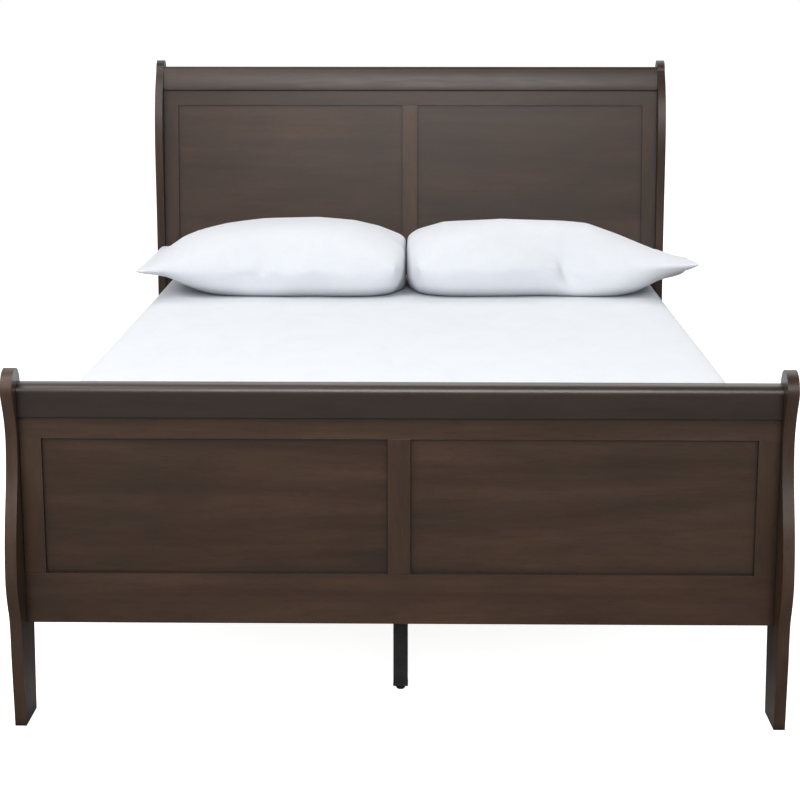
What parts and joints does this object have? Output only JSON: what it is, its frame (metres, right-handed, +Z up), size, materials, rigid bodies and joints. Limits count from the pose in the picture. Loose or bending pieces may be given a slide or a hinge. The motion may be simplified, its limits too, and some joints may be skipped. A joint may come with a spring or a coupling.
{
  "type": "sleigh bed",
  "caption": "Sleigh bed with frame-and-panel ends under thick round-edged crowns, side rails on hooks, slats, centre legs with levelling glides, a mattress and pillows.",
  "frame": {"origin": "on the floor, at the centre of the bed", "axes": "+X to the right seen from the foot, +Y towards the headboard, +Z up"},
  "size_m": [1.51, 2.15, 1.205],
  "materials": {
    "dark_wood": "satin",
    "panel_wood": "satin",
    "slat_wood": "matte",
    "zinc_steel": "satin",
    "black_steel": "satin",
    "black_plastic": "matte",
    "sheet_cotton": "matte",
    "pillow_cotton": "matte"
  },
  "bodies": {
    "frame": {"head_post_left": "dark_wood", "head_post_right": "dark_wood", "head_crown": "dark_wood", "head_top_rail": "dark_wood", "head_bottom_rail": "dark_wood", "head_stile_left": "dark_wood", "head_stile_right": "dark_wood", "head_stile_centre": "dark_wood", "head_panel_left": "panel_wood", "head_panel_right": "panel_wood", "head_dowels": "slat_wood", "foot_post_left": "dark_wood", "foot_post_right": "dark_wood", "foot_crown": "dark_wood", "foot_top_rail": "dark_wood", "foot_bottom_rail": "dark_wood", "foot_stile_left": "dark_wood", "foot_stile_right": "dark_wood", "foot_stile_centre": "dark_wood", "foot_panel_left": "panel_wood", "foot_panel_right": "panel_wood", "foot_dowels": "slat_wood", "side_rail_left": "dark_wood", "side_rail_right": "dark_wood", "cleat_left": "slat_wood", "cleat_right": "slat_wood", "rail_hooks": "zinc_steel", "hook_pins": "zinc_steel", "hook_rivets": "zinc_steel", "cleat_screws": "zinc_steel", "slat_screws": "zinc_steel", "slat_1": "slat_wood", "slat_2": "slat_wood", "slat_3": "slat_wood", "slat_4": "slat_wood", "slat_5": "slat_wood", "slat_6": "slat_wood", "slat_7": "slat_wood", "centre_leg_1": "black_steel", "centre_leg_2": "black_steel", "centre_leg_3": "black_steel", "centre_leg_4": "black_steel", "leg_sockets": "black_plastic", "leg_screws": "black_steel"},
    "glide_1": {"glide_1": "black_plastic"},
    "glide_2": {"glide_2": "black_plastic"},
    "glide_3": {"glide_3": "black_plastic"},
    "glide_4": {"glide_4": "black_plastic"},
    "mattress": {"mattress": "sheet_cotton"},
    "pillow_left": {"pillow_left": "pillow_cotton"},
    "pillow_right": {"pillow_right": "pillow_cotton"}
  },
  "joints": [
    {"name": "glide_1_screw", "type": "slide", "parent": "frame", "child": "glide_1", "axis": [0, 0, -1], "range_m": [0, 0.012]},
    {"name": "glide_2_screw", "type": "slide", "parent": "frame", "child": "glide_2", "axis": [0, 0, -1], "range_m": [0, 0.012]},
    {"name": "glide_3_screw", "type": "slide", "parent": "frame", "child": "glide_3", "axis": [0, 0, -1], "range_m": [0, 0.012]},
    {"name": "glide_4_screw", "type": "slide", "parent": "frame", "child": "glide_4", "axis": [0, 0, -1], "range_m": [0, 0.012]},
    {"name": "mattress_lift", "type": "slide", "parent": "frame", "child": "mattress", "axis": [0, 0, 1], "range_m": [0, 0.45]},
    {"name": "pillow_left_lift", "type": "slide", "parent": "mattress", "child": "pillow_left", "axis": [0, 0, 1], "range_m": [0, 0.3]},
    {"name": "pillow_right_lift", "type": "slide", "parent": "mattress", "child": "pillow_right", "axis": [0, 0, 1], "range_m": [0, 0.3]}
  ]
}
